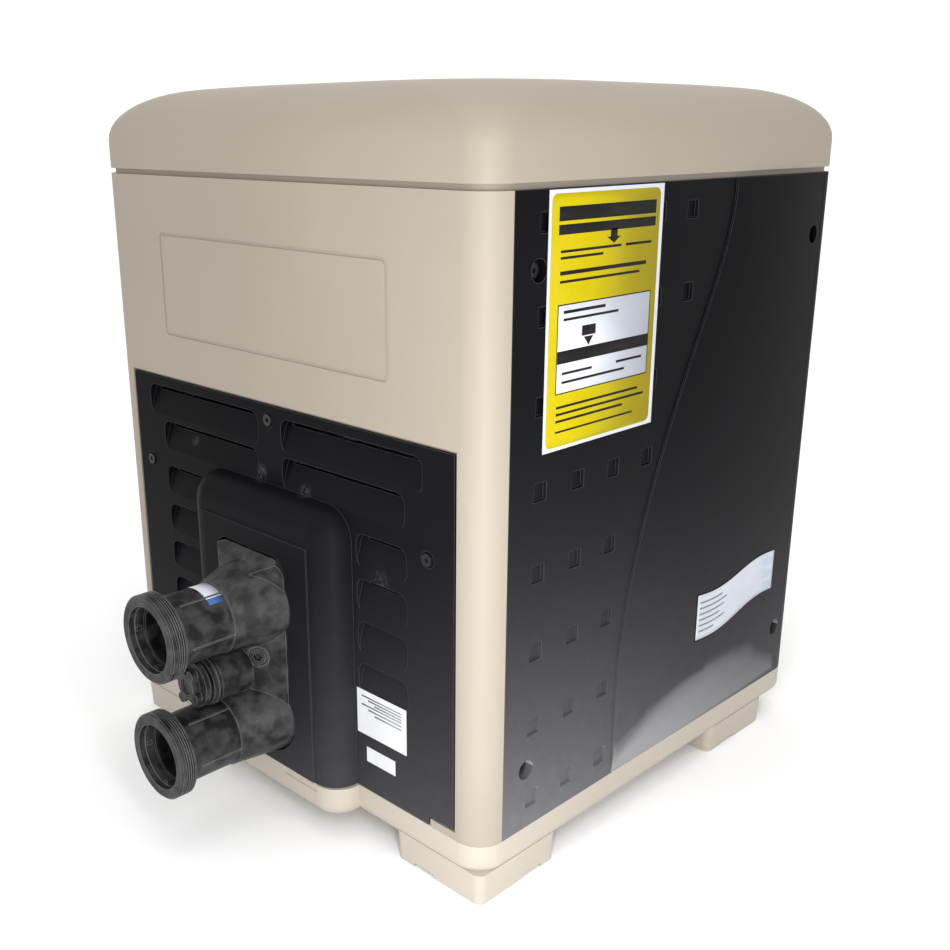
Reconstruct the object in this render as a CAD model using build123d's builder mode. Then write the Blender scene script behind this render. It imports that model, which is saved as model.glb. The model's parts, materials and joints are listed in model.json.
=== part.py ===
"""Gas-fired pool and spa heater in a square cabinet, modelled as its separate real pieces.

Inside this file the cabinet's centre is x = y = 0 and the floor is z = 0. The two water ports
point along -X, the swoosh-marked doors face -Y and +Y, the exhaust grille faces +X.
save() moves each finished piece along X so that the origin is under the middle of the whole
object, ports included. All sizes are in millimetres.
"""
from build123d import *
import math
import os

os.makedirs("parts", exist_ok=True)

# ------------------------------------------------------------------ driving dimensions
body_width = 522.5            # cabinet along X
body_depth = 533.0            # cabinet along Y
corner_radius = 27.0          # vertical corners of the cabinet
foot_height = 25.5
skirt_height = 30.0
jacket_height = 546.0
seam_gap = 5.0                # shadow groove under the lid
lid_height = 80.0
wall = 3.5                    # moulded jacket panels
door_wall = 5.0
joint_gap = 0.4               # between panels of different bodies
mouth_x = -407.0              # end of the water ports
upper_port_z = 216.5
lower_port_z = 100.0

# ------------------------------------------------------------------ derived dimensions
half_width = body_width / 2
half_depth = body_depth / 2
skirt_top = foot_height + skirt_height
jacket_top = skirt_top + jacket_height
lid_bottom = jacket_top + seam_gap
gas_reach = 22.0              # gas stub beyond the exhaust-side panel
frame_shift = -(mouth_x + half_width + gas_reach) / 2
strip_x = half_width - corner_radius      # where the rounded corner strips meet the doors

# water side: louvre panel and its bump-out
opening_half = 236.0
opening_top = skirt_top + 350.0
strip_half = 206.0
strip_height = 7.5
panel_gap = 2.5
panel_front = -half_width + 0.3
panel_wall = 3.0
panel_screw_places = [(212, 255), (5, 333.5), (-203, 252)]
louvre_height = 32.0
louvre_depth = 9.0
louvre_rows = [(338.0, 22.0, 206.0), (338.0, -197.0, -13.0), (302.0, 24.0, 184.0), (302.0, -176.0, -13.0)]
louvre_rows += [(top, 114.0, 184.0) for top in (254.0, 212.0, 171.0, 130.0)]
louvre_rows += [(top, -178.0, -114.0) for top in (254.0, 212.0, 171.0, 130.0)]
box_half = 108.0
box_height = 271.0
box_depth = 28.0
plate_half = 79.0
plate_height = 235.0
plate_proud = 1.6
port_window_y = (-48.0, 57.0)
port_window_top = skirt_top + 217.0

# doors
pocket_size = 16.0
pocket_depth = 3.0
pocket_corner = 1.2
pocket_taper = 18.0
pocket_pitch_x = 49.0
pocket_pitch_z = 70.7
pocket_first_x = -196.0
pocket_first_z = 27.0
pocket_rows = [3, 3, 3, 3, 4, 4, 5, 5]
door_screw_x = [-204.5, 218.0]
door_screw_z = [58.5, 486.5]
swoosh_line = [(-77.5, 0), (-77.0, 106), (-57, 217), (-17, 328), (31.5, 428), (59, 490), (67.7, 546)]
pillow_height = 6.0
pillow_edge = 1.8
pillow_right = 233.0
scoop_height = 57.0

# water manifold
port_bore = 31.0
port_depth = 6.0
socket_bore = 30.3
pipe_bore = 27.5
pipe_radius = 33.0
thread_radius = 41.0
thread_length = 15.0
core_half = 42.0
core_front = -284.0
core_top = 270.0
ridge_x = -314.0              # front of the wedge between the ports
ridge_y = (-12.0, 21.0)
wedge_x = -291.0
wedge_y = (-46.5, 55.5)
wedge_slope = 0.75            # drop of the sloped top per unit towards the front
wedge_corner = 15.0
flare_start = -337.6
flare_step = 1.4              # low step all round where the flare begins
flare_end = -290.0
flare_half = 52.5             # half width of both flares where they enter the window
flares = {lower_port_z: (107.0, 41.5), upper_port_z: (222.5, 44.0)}     # flare's centre and half height
window_clearance = 1.6
window_corner = 16.0
rib_angles = (-12, 62, 168, 242)
rib_length = 46.0
rib_wall = 1.6
flange_x = -190.0
stub_z = (upper_port_z + lower_port_z) / 2
stub_radius = 23.0
stub_bore = 16.0
stub_end = -356.0
running_gap = 0.3

# heat exchanger and burner
tub_x = 20.0
tub_radius = 168.0
tub_bottom = 85.0
tub_top = 345.0
ring_count = 6
ring_radius = 122.0
tube_radius = 15.0
ring_pitch = 36.0
first_ring_z = 122.0
deck_thickness = 8.0
burner_radius = 45.0
burner_bottom = 200.0
blower_base = tub_top + deck_thickness + 4.0
blower_radius = 95.0
blower_height = 66.0
shaft_radius = 4.0
shaft_gap = 0.05
duct_z = 205.0
duct_radius = 50.0

# control panel in the lid's +Y side
panel_half = 100.0
panel_low = lid_bottom + 5.0
panel_high = lid_bottom + 56.0
panel_back = half_depth - 32.0
bezel_thickness = 5.0
cover_thickness = 3.0
hinge_y = half_depth - 18.0
hinge_z = panel_high - 5.5
pin_radius = 1.5
pin_gap = 0.06
button_radius = 5.5
button_gap = 0.3
button_names = ["off", "pool", "spa", "menu", "up", "down"]
button_first_x = -42.5
button_pitch = 17.0
button_z = panel_low + 13.0
display_half = 46.0
display_low = panel_low + 25.0
display_high = panel_low + 44.0
display_gap = 0.2
display_thickness = 3.6

# ------------------------------------------------------------------ helpers
def save(piece, name):
    """Place a finished piece in the object's frame, label it and write its STEP file."""
    placed = piece.part.moved(Location((frame_shift, 0, 0)))
    placed.label = name
    export_step(placed, f"parts/{name}.step")


def box_between(low, high, mode=Mode.ADD):
    """Add or cut a box given by two opposite corners, in the part being built."""
    size = [top - bottom for bottom, top in zip(low, high)]
    centre = [(top + bottom) / 2 for bottom, top in zip(low, high)]
    with Locations(tuple(centre)):
        Box(*size, mode=mode)


def rod_x(radius, start, end, y, z, mode=Mode.ADD):
    """Add or cut a cylinder that runs along X."""
    with Locations(Location(((start + end) / 2, y, z), (0, 90, 0))):
        Cylinder(radius, end - start, mode=mode)


def rod_y(radius, start, end, x, z, mode=Mode.ADD):
    """Add or cut a cylinder that runs along Y."""
    with Locations(Location((x, (start + end) / 2, z), (90, 0, 0))):
        Cylinder(radius, end - start, mode=mode)


def rod_z(radius, start, end, x, y, mode=Mode.ADD):
    """Add or cut a cylinder that runs along Z."""
    with Locations((x, y, (start + end) / 2)):
        Cylinder(radius, end - start, mode=mode)


# ------------------------------------------------------------------ cabinet
foot_inset = 1.0
foot_inner_y = 157.5
left_foot_inner_x = -155.0
right_foot_x = (103.0, 211.5)
foot_corner = 9.0
foot_taper = 3.0
foot_notch = 26.0
foot_notch_depth = 4.0
foot_notch_reach = 71.5       # notch centre, in from the foot's outer corner
porch_half = 111.0
porch_front = -290.0
tray_floor = 6.0
tray_rim = 14.0


def make_base():
    """Moulded base: a skirted tray with a porch under the bump-out, on four corner feet."""
    foot_left = -(half_width - foot_inset)
    foot_top = foot_height + tray_floor - 1.0
    outer_y = half_depth - foot_inset
    notch_half = foot_notch / 2
    spans_x = [(foot_left, left_foot_inner_x, foot_left + foot_notch_reach - foot_inset)]
    spans_x += [(*right_foot_x, right_foot_x[1] - foot_notch_reach + foot_inset)]
    with BuildPart() as base:
        with BuildSketch(Plane.XY.offset(foot_height)):
            RectangleRounded(body_width, body_depth, corner_radius)
            with Locations((porch_front / 2, 0)):
                RectangleRounded(-porch_front, 2 * porch_half, corner_radius)
        extrude(amount=skirt_height)
        lower_edges = base.edges().group_by(Axis.Z)[0]
        fillet(lower_edges, radius=11.0)
        with BuildSketch(Plane.XY.offset(foot_height + tray_floor)):
            RectangleRounded(body_width - 2 * tray_rim, body_depth - 2 * tray_rim, corner_radius - 10)
        extrude(amount=skirt_height, mode=Mode.SUBTRACT)
        for side in (-1, 1):
            for x_low, x_high, notch_x in spans_x:
                middle = ((x_low + x_high) / 2, side * (outer_y + foot_inner_y) / 2, foot_top)
                with BuildSketch(Plane(middle, x_dir=(1, 0, 0), z_dir=(0, 0, -1))):
                    RectangleRounded(x_high - x_low, outer_y - foot_inner_y, foot_corner)
                extrude(amount=foot_top, taper=foot_taper)
                y_low, y_high = sorted((side * (foot_inner_y - 5), side * (half_depth + 5)))
                box_between((notch_x - notch_half, y_low, -1), (notch_x + notch_half, y_high, foot_notch_depth),
                            mode=Mode.SUBTRACT)
            notch_y = side * (half_depth - foot_notch_reach)
            box_between((-half_width - 5, notch_y - notch_half, -1),
                        (half_width + 5, notch_y + notch_half, foot_notch_depth), mode=Mode.SUBTRACT)
        # four posts of the tray carry the combustion tub
        for angle in (45, 135, 225, 315):
            post_x = tub_x + 110 * math.cos(math.radians(angle))
            post_y = 110 * math.sin(math.radians(angle))
            rod_z(14, foot_height + 3, tub_bottom, post_x, post_y)
        # shallow moulded recess on the porch's front
        box_between((porch_front - 1, -82, skirt_top - 8), (porch_front + 0.8, -34, skirt_top + 1),
                    mode=Mode.SUBTRACT)
    return base


post_size = 22.0
top_frame_depth = 10.0
frame_inset = 4.5


def make_frame_posts():
    """Four upright posts that carry the top frame and take the door screws."""
    with BuildPart() as posts:
        for x in door_screw_x:
            for side in (-1, 1):
                y_outer = half_depth - 16.0
                low = (x - post_size / 2, min(side * y_outer, side * (y_outer - post_size)),
                       foot_height + tray_floor)
                high = (x + post_size / 2, max(side * y_outer, side * (y_outer - post_size)),
                        jacket_top - top_frame_depth)
                box_between(low, high)
                for z in door_screw_z:
                    rod_y(screw_radius + running_gap, side * y_outer - post_size, side * y_outer + post_size,
                          x, skirt_top + z, mode=Mode.SUBTRACT)
    return posts


def make_top_frame():
    """Ring on top of the jackets, set back to leave the shadow groove; the lid sits on it."""
    with BuildPart() as ring:
        with BuildSketch(Plane.XY.offset(jacket_top)):
            RectangleRounded(body_width - 2 * frame_inset, body_depth - 2 * frame_inset,
                             corner_radius - frame_inset)
        extrude(amount=seam_gap)
        inset = door_wall + 3.0
        with BuildSketch(Plane.XY.offset(jacket_top - top_frame_depth)):
            RectangleRounded(body_width - 2 * inset, body_depth - 2 * inset, corner_radius - inset)
        extrude(amount=top_frame_depth)
        with BuildSketch(Plane.XY.offset(jacket_top - top_frame_depth)):
            RectangleRounded(body_width - 80, body_depth - 80, corner_radius - 10)
        extrude(amount=top_frame_depth + seam_gap, mode=Mode.SUBTRACT)
    return ring


def make_water_side_jacket():
    """Jacket of the water side: it wraps both -X corners and holds the louvre panel."""
    badge_depth = 0.9
    badge_low, badge_high = skirt_top + 393.0, skirt_top + 493.0
    with BuildPart() as jacket:
        with BuildSketch(Plane.XY.offset(skirt_top + 0.2)):
            RectangleRounded(body_width, body_depth, corner_radius)
            RectangleRounded(body_width - 2 * wall, body_depth - 2 * wall, corner_radius - wall,
                             mode=Mode.SUBTRACT)
            with Locations((half_width - strip_x / 2, 0)):
                Rectangle(body_width + strip_x, 2 * body_depth, mode=Mode.SUBTRACT)
        extrude(amount=jacket_height - 0.2)
        box_between((-300, -opening_half, skirt_top + strip_height), (-200, opening_half, opening_top),
                    mode=Mode.SUBTRACT)
        box_between((-300, -strip_half, skirt_top), (-200, strip_half, opening_top), mode=Mode.SUBTRACT)
        # long flanges behind the wall stiffen it and hold the panel screws
        lip = 14.0
        behind = -half_width + wall
        box_between((behind, -opening_half - 1, opening_top - 8),
                    (behind + 3, opening_half + 1, opening_top + lip))
        for side in (-1, 1):
            y0, y1 = sorted((side * (opening_half - 26), side * (opening_half + 1)))
            box_between((behind, y0, skirt_top + 10), (behind + 3, y1, opening_top + lip))
        for y, z in panel_screw_places:
            tab_end = y + math.copysign(26, y) if abs(y) > 50 else y
            y0, y1 = sorted((y - math.copysign(9, y), tab_end + 9 * (abs(y) < 50)))
            z1 = opening_top if abs(y) < 50 else skirt_top + z + 9
            box_between((behind, y0, skirt_top + z - 9), (behind + 3, y1, z1))
            rod_x(screw_radius, behind - 4, behind + 4, y, skirt_top + z, mode=Mode.SUBTRACT)
        # blank embossed badge field
        with BuildSketch(Plane.YZ.offset(-half_width)) as badge:
            with Locations((4, (badge_low + badge_high) / 2)):
                RectangleRounded(326, badge_high - badge_low, 6)
                RectangleRounded(320, badge_high - badge_low - 6, 4, mode=Mode.SUBTRACT)
        extrude(amount=badge_depth, both=True, mode=Mode.SUBTRACT)
    return jacket


grille_half = 84.0
gas_hole_radius = 17.0
gas_pipe_radius = 13.3
gas_y, gas_z = -150.0, 420.0
conduit_y, conduit_z = 160.0, 360.0
conduit_radius = 11.1


def make_exhaust_side_jacket():
    """Flat jacket panel of the exhaust side, with its grille opening, gas and conduit holes."""
    edge = half_depth - corner_radius - joint_gap
    with BuildPart() as jacket:
        box_between((half_width - wall, -edge, skirt_top + 0.2), (half_width, edge, jacket_top))
        box_between((half_width - 20, -grille_half, duct_z - grille_half),
                    (half_width + 1, grille_half, duct_z + grille_half), mode=Mode.SUBTRACT)
        rod_x(gas_hole_radius, half_width - 20, half_width + 1, gas_y, gas_z, mode=Mode.SUBTRACT)
        rod_x(conduit_radius, half_width - 20, half_width + 1, conduit_y, conduit_z, mode=Mode.SUBTRACT)
        # return flanges along both upright edges
        for side in (-1, 1):
            y0, y1 = sorted((side * (edge - 3), side * edge))
            box_between((half_width - wall - 12, y0, skirt_top + 0.2), (half_width - wall, y1, jacket_top - 12))
    return jacket


# ------------------------------------------------------------------ fasteners
screw_radius = 2.75
screw_head_radius = 5.6
screw_head_height = 3.6
counterbore_radius = 9.2
counterbore_depth = 9.0


def make_door():
    """One door in its front position: wall with a wrapped corner, pillow, scoop and pockets."""
    left = -strip_x + joint_gap
    right_end = -(half_depth - corner_radius)
    front = -half_depth
    with BuildPart() as wall_part:
        with BuildSketch(Plane.XY.offset(skirt_top + 0.2)):
            with BuildLine():
                Line((left, front), (strip_x, front))
                RadiusArc((strip_x, front), (half_width, right_end), -corner_radius)
                Line((half_width, right_end), (half_width - door_wall, right_end))
                RadiusArc((half_width - door_wall, right_end), (strip_x, front + door_wall),
                          corner_radius - door_wall)
                Line((strip_x, front + door_wall), (left, front + door_wall))
                Line((left, front + door_wall), (left, front))
            make_face()
        extrude(amount=jacket_height - 0.2)
        # pillow: a crowned field between the swoosh line and the right edge
        for x, z in swoosh_line:
            middle = (x + pillow_right) / 2
            crown = pillow_height * (0.55 + 0.45 * (pillow_right - x) / (pillow_right - swoosh_line[0][0]))
            level = skirt_top + min(max(z, 0.2), jacket_height)
            with BuildSketch(Plane.XY.offset(level)):
                with BuildLine():
                    Line((pillow_right, front + 1), (x, front + 1))
                    Line((x, front + 1), (x, front - pillow_edge))
                    ThreePointArc((x, front - pillow_edge), (middle, front - crown), (pillow_right, front))
                    Line((pillow_right, front), (pillow_right, front + 1))
                make_face()
        loft()
        # scoop at the foot of the pillow, leaning outwards as it rises
        with BuildSketch(Plane.YZ.offset(-100)):
            with BuildLine():
                Polyline((front, skirt_top), (front - 40, skirt_top),
                         (front - 40, skirt_top + 40 * scoop_height / pillow_height), (front, skirt_top))
            make_face()
        extrude(amount=400, mode=Mode.SUBTRACT)
        # rows of square pockets
        for row, count in enumerate(pocket_rows):
            for column in range(count):
                x = pocket_first_x + column * pocket_pitch_x
                z = skirt_top + pocket_first_z + row * pocket_pitch_z
                with BuildSketch(Plane((x, front, z), x_dir=(1, 0, 0), z_dir=(0, 1, 0))):
                    RectangleRounded(pocket_size, pocket_size, pocket_corner)
                extrude(amount=pocket_depth, taper=pocket_taper, mode=Mode.SUBTRACT)
        # screw bosses behind the wall, counterbored from the front
        for x in door_screw_x:
            for z in door_screw_z:
                rod_y(counterbore_radius + 2.6, front + door_wall - 1, front + 14.0, x, skirt_top + z)
                rod_y(counterbore_radius, front - 20, front + counterbore_depth, x, skirt_top + z,
                      mode=Mode.SUBTRACT)
                rod_y(screw_radius + 0.4, front - 20, front + 30, x, skirt_top + z, mode=Mode.SUBTRACT)
    return wall_part


def make_door_screws():
    """Four pan-head screws of one door, in its front position."""
    seat = -half_depth + counterbore_depth
    with BuildPart() as screws:
        for x in door_screw_x:
            for z in door_screw_z:
                rod_y(screw_head_radius, seat - screw_head_height, seat, x, skirt_top + z)
                rod_y(screw_radius, seat, seat + 18, x, skirt_top + z)
                rod_y(2.2, seat - screw_head_height - 1, seat - 1.4, x, skirt_top + z, mode=Mode.SUBTRACT)
    return screws


def mirrored(piece):
    """The same piece on the opposite side of the cabinet."""
    with BuildPart() as twin:
        add(mirror(piece.part, about=Plane.XZ, mode=Mode.PRIVATE))
    return twin



# ------------------------------------------------------------------ lid
lid_wall = 4.0
lid_round = 47.0
lid_straight = 26.0
lid_shoulder = 73.4
lid_corner_growth = 2.0       # corner radius gained per unit of inset, towards the top
crown_steps = [(47.0, lid_shoulder), (62.0, 74.7), (80.0, 75.8), (110.0, 77.2), (150.0, 78.7), (200.0, 80.0)]
shoulder_steps = 12
corner_share = 0.6            # largest corner radius, as a share of half the crown's width


def lid_block(shrink):
    """The lid's rounded, slightly crowned form, set in by the wall where it is the hollow."""
    levels = [(0.0, 0.0)]
    for step in range(shoulder_steps):
        angle = math.radians(90 * step / shoulder_steps)
        levels.append((lid_round * (1 - math.cos(angle)), lid_straight + lid_round * math.sin(angle)))
    with BuildPart() as block:
        for inset, height in levels + crown_steps:
            width = body_width - 2 * (inset + shrink)
            depth = body_depth - 2 * (inset + shrink)
            level = lid_bottom + height - shrink * (height / lid_height)
            radius = min(corner_radius + lid_corner_growth * inset, corner_share * width / 2) - shrink
            with BuildSketch(Plane.XY.offset(level)):
                RectangleRounded(width, depth, radius)
        loft(ruled=True)
    return block


def make_lid():
    """Lift-off lid: a crowned shell with a rim flange and a pocket for the control panel."""
    outer = lid_block(0.0)
    hollow = lid_block(lid_wall)
    liner = 3.5
    rim = 16.0
    with BuildPart() as cavity:
        add(hollow.part)
        box_between((-300, -300, lid_bottom - 1), (300, 300, lid_bottom + lid_wall), mode=Mode.SUBTRACT)
        box_between((-panel_half - liner, panel_back - liner, lid_bottom - 1),
                    (panel_half + liner, 300, panel_high + liner), mode=Mode.SUBTRACT)
    with BuildPart() as lid:
        add(outer.part)
        add(cavity.part, mode=Mode.SUBTRACT)
        with BuildSketch(Plane.XY.offset(lid_bottom - 1)):
            RectangleRounded(body_width - 2 * rim, body_depth - 2 * rim, corner_radius - 12)
            with Locations((0, half_depth)):
                Rectangle(2 * (panel_half + liner), 2 * (half_depth - panel_back + liner), mode=Mode.SUBTRACT)
        extrude(amount=lid_wall + 2, mode=Mode.SUBTRACT)
        box_between((-panel_half, panel_back, panel_low), (panel_half, 300, panel_high), mode=Mode.SUBTRACT)
        rod_x(pin_radius + 0.02, -panel_half - 2.5, panel_half + 2.5, hinge_y, hinge_z, mode=Mode.SUBTRACT)
    return lid


def make_control_bezel():
    """Dark fascia in the pocket, with a display window and six button holes."""
    with BuildPart() as bezel:
        box_between((-panel_half + 0.3, panel_back, panel_low + 0.3),
                    (panel_half - 0.3, panel_back + bezel_thickness, panel_high - 0.3))
        box_between((-display_half, panel_back - 1, display_low), (display_half, panel_back + 20, display_high),
                    mode=Mode.SUBTRACT)
        for index in range(len(button_names)):
            rod_y(button_radius + button_gap, panel_back - 1, panel_back + 20,
                  button_first_x + index * button_pitch, button_z, mode=Mode.SUBTRACT)
    return bezel


def make_display_module():
    """Display that fills the bezel's window."""
    with BuildPart() as display:
        box_between((-display_half + display_gap, panel_back, display_low + display_gap),
                    (display_half - display_gap, panel_back + display_thickness, display_high - display_gap))
    return display


def make_button(index):
    """One push button of the control panel."""
    x = button_first_x + index * button_pitch
    with BuildPart() as button:
        rod_y(button_radius, panel_back + 1.5, panel_back + bezel_thickness + 2.5, x, button_z)
        fillet(button.edges().group_by(Axis.Y)[-1], radius=0.8)
    return button


def make_display_cover():
    """Clear flip-up cover, hanging from its hinge barrel."""
    with BuildPart() as cover:
        box_between((-panel_half + 4, hinge_y - cover_thickness / 2, panel_low + 3),
                    (panel_half - 4, hinge_y + cover_thickness / 2, hinge_z))
        rod_x(3.2, -panel_half + 4, panel_half - 4, hinge_y, hinge_z)
        rod_x(pin_radius + pin_gap, -panel_half, panel_half, hinge_y, hinge_z, mode=Mode.SUBTRACT)
        # finger lip along the lower edge
        box_between((-18, hinge_y, panel_low + 3), (18, hinge_y + 5, panel_low + 5.5))
    return cover


def make_cover_hinge_pin():
    """Steel pin held in the pocket's side walls."""
    with BuildPart() as pin:
        rod_x(pin_radius, -panel_half - 2.4, panel_half + 2.4, hinge_y, hinge_z)
    return pin


# ------------------------------------------------------------------ louvre panel
def louvre_cutter(low_y, high_y, top):
    """Wedge-shaped hollow of one louvre: deep at its top, flush at its foot, with a top slot."""
    slot = 6.0
    foot = top - louvre_height + 2.0
    with BuildPart() as cutter:
        with BuildSketch(Plane.YZ.offset(panel_front - 1)):
            with Locations(((low_y + high_y) / 2, top - louvre_height / 2)):
                RectangleRounded(high_y - low_y, louvre_height, 10)
        extrude(amount=louvre_depth + 1)
        with BuildSketch(Plane.XZ.offset(-high_y - 1)):
            with BuildLine():
                Polyline((panel_front, foot), (panel_front + louvre_depth, top), (panel_front + 20, top),
                         (panel_front + 20, foot - 20), (panel_front - 2, foot - 20), (panel_front - 2, foot),
                         (panel_front, foot))
            make_face()
        extrude(amount=high_y - low_y + 2, mode=Mode.SUBTRACT)
        box_between((panel_front + 1, low_y + 9, top - slot), (panel_front + 20, high_y - 9, top))
    return cutter


def bump_out_block(shrink):
    """The rounded box over the manifold; with a shrink it is the box's hollow."""
    half = box_half - shrink
    height = box_height - shrink
    with BuildPart() as block:
        with BuildSketch(Plane.YZ.offset(panel_front + 5)) as outline:
            with Locations((0, skirt_top + 0.6 + height / 2)):
                Rectangle(2 * half, height)
            fillet(outline.vertices().group_by(Axis.Y)[-1], radius=30 - shrink)
        extrude(amount=-(box_depth + 5 - shrink))
        front = block.faces().sort_by(Axis.X)[0]
        fillet(front.edges().sort_by(Axis.Z)[1:], radius=26 - shrink)
    return block


def make_louvre_panel():
    """Dark side panel: louvres, the bump-out over the manifold and its window."""
    box_wall = 3.0
    outer = bump_out_block(0.0)
    hollow = bump_out_block(box_wall)
    back = panel_front + panel_wall
    edge = opening_half - panel_gap
    foot = skirt_top + 0.6
    with BuildPart() as panel:
        box_between((panel_front, -edge, foot), (back, edge, opening_top - panel_gap))
        for side in (-1, 1):
            y0, y1 = sorted((side * (strip_half - panel_gap), side * (edge + 1)))
            box_between((panel_front - 1, y0, foot - 1), (back + 1, y1, skirt_top + strip_height + 1.5),
                        mode=Mode.SUBTRACT)
        for top, low_y, high_y in louvre_rows:
            box_between((back - 1, low_y - 2.5, skirt_top + top - louvre_height + 4),
                        (back + louvre_depth - 1, high_y + 2.5, skirt_top + top + 1.6))
        for top, low_y, high_y in louvre_rows:
            add(louvre_cutter(low_y, high_y, skirt_top + top).part, mode=Mode.SUBTRACT)
        add(outer.part)
        with BuildSketch(Plane.YZ.offset(panel_front - box_depth + 1)):
            with Locations((0, foot + plate_height / 2)):
                Rectangle(2 * plate_half, plate_height)
        extrude(amount=-(plate_proud + 1))
        box_between((panel_front - 200, -plate_half, foot - 5), (back + 200, plate_half, foot),
                    mode=Mode.SUBTRACT)
        add(hollow.part, mode=Mode.SUBTRACT)
        with BuildSketch(Plane.YZ.offset(back + 10)) as window:
            window_foot = lower_port_z - window_clearance
            with Locations((sum(port_window_y) / 2, (port_window_top + window_foot) / 2)):
                Rectangle(port_window_y[1] - port_window_y[0], port_window_top - window_foot)
            fillet(window.vertices().group_by(Axis.Y)[-1], radius=window_corner)
            for flare_z, flare_height in flares.values():
                with Locations((0, flare_z)):
                    Ellipse(flare_half + window_clearance, flare_height + window_clearance)
        extrude(amount=-80, mode=Mode.SUBTRACT)
        for y, z in panel_screw_places:
            rod_x(7.5, panel_front - 1, panel_front + 1.4, y, skirt_top + z, mode=Mode.SUBTRACT)
            rod_x(screw_radius + 0.3, panel_front - 1, back + 1, y, skirt_top + z, mode=Mode.SUBTRACT)
    return panel


def make_louvre_panel_screws():
    """Three pan-head screws of the louvre panel."""
    seat = panel_front + 1.4
    with BuildPart() as screws:
        for y, z in panel_screw_places:
            rod_x(screw_head_radius, seat - 3.0, seat, y, skirt_top + z)
            rod_x(screw_radius, seat, seat + 9, y, skirt_top + z)
            rod_x(2.2, seat - 4, seat - 1.2, y, skirt_top + z, mode=Mode.SUBTRACT)
    return screws


# ------------------------------------------------------------------ water manifold
flange_wall = 10.0
flange_half = 62.0
flange_low, flange_high = 70.0, 282.0
bolt_radius = 3.2
bolt_gap = 0.3
bolt_head = 4.0
bolt_head_radius = 6.0
bolt_y = 52.0
bolt_rows = (flange_low + 12.0, (flange_low + flange_high) / 2, flange_high - 12.0)
bolt_places = [(y, z) for y in (-bolt_y, bolt_y) for z in bolt_rows]
valve_x = -240.0
valve_seat_z = 181.0
valve_radius = 16.0
valve_thickness = 3.0
guide_z = 207.0
lug_height = 2.6


def thread_profile(z):
    """Outline of one threaded port ring above its axis, closed along the bore."""
    grooves = 4
    pitch = 2.3
    depth = 1.9
    first = mouth_x + 5.0
    points = [(mouth_x, z + pipe_bore), (mouth_x, z + thread_radius - 1.6), (mouth_x + 1.4, z + thread_radius)]
    for index in range(grooves):
        start = first + index * pitch
        points += [(start, z + thread_radius), (start + 0.5, z + thread_radius - depth),
                   (start + 1.1, z + thread_radius - depth), (start + 1.6, z + thread_radius)]
    end = mouth_x + thread_length
    points += [(end, z + thread_radius), (end, z + pipe_bore), points[0]]
    return points


def manifold_wedge():
    """The block between the ports: slanted sides, a narrow front and a top that slopes to the front."""
    reach = 40.0
    with BuildPart() as wedge:
        with BuildSketch(Plane.XY.offset(lower_port_z)):
            with BuildLine():
                Polyline((core_front + 1, wedge_y[0]), (wedge_x, wedge_y[0]), (ridge_x, ridge_y[0]),
                         (ridge_x, ridge_y[1]), (wedge_x, wedge_y[1]), (core_front + 1, wedge_y[1]),
                         (core_front + 1, wedge_y[0]))
            make_face()
        extrude(amount=core_top - lower_port_z)
        # rounded along its two upper sides
        below = 30.0
        with BuildSketch(Plane.YZ.offset(core_front + 2)):
            with Locations((sum(wedge_y) / 2, (core_top + lower_port_z - below) / 2)):
                RectangleRounded(wedge_y[1] - wedge_y[0], core_top - lower_port_z + below, wedge_corner)
        extrude(amount=-reach, mode=Mode.INTERSECT)
        with BuildSketch(Plane.XZ.offset(-wedge_y[1] - 5)):
            with BuildLine():
                Polyline((wedge_x, core_top), (wedge_x - reach, core_top - reach * wedge_slope),
                         (wedge_x - reach, core_top + 1), (wedge_x, core_top + 1), (wedge_x, core_top))
            make_face()
        extrude(amount=wedge_y[1] - wedge_y[0] + 10, mode=Mode.SUBTRACT)
    return wedge


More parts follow.
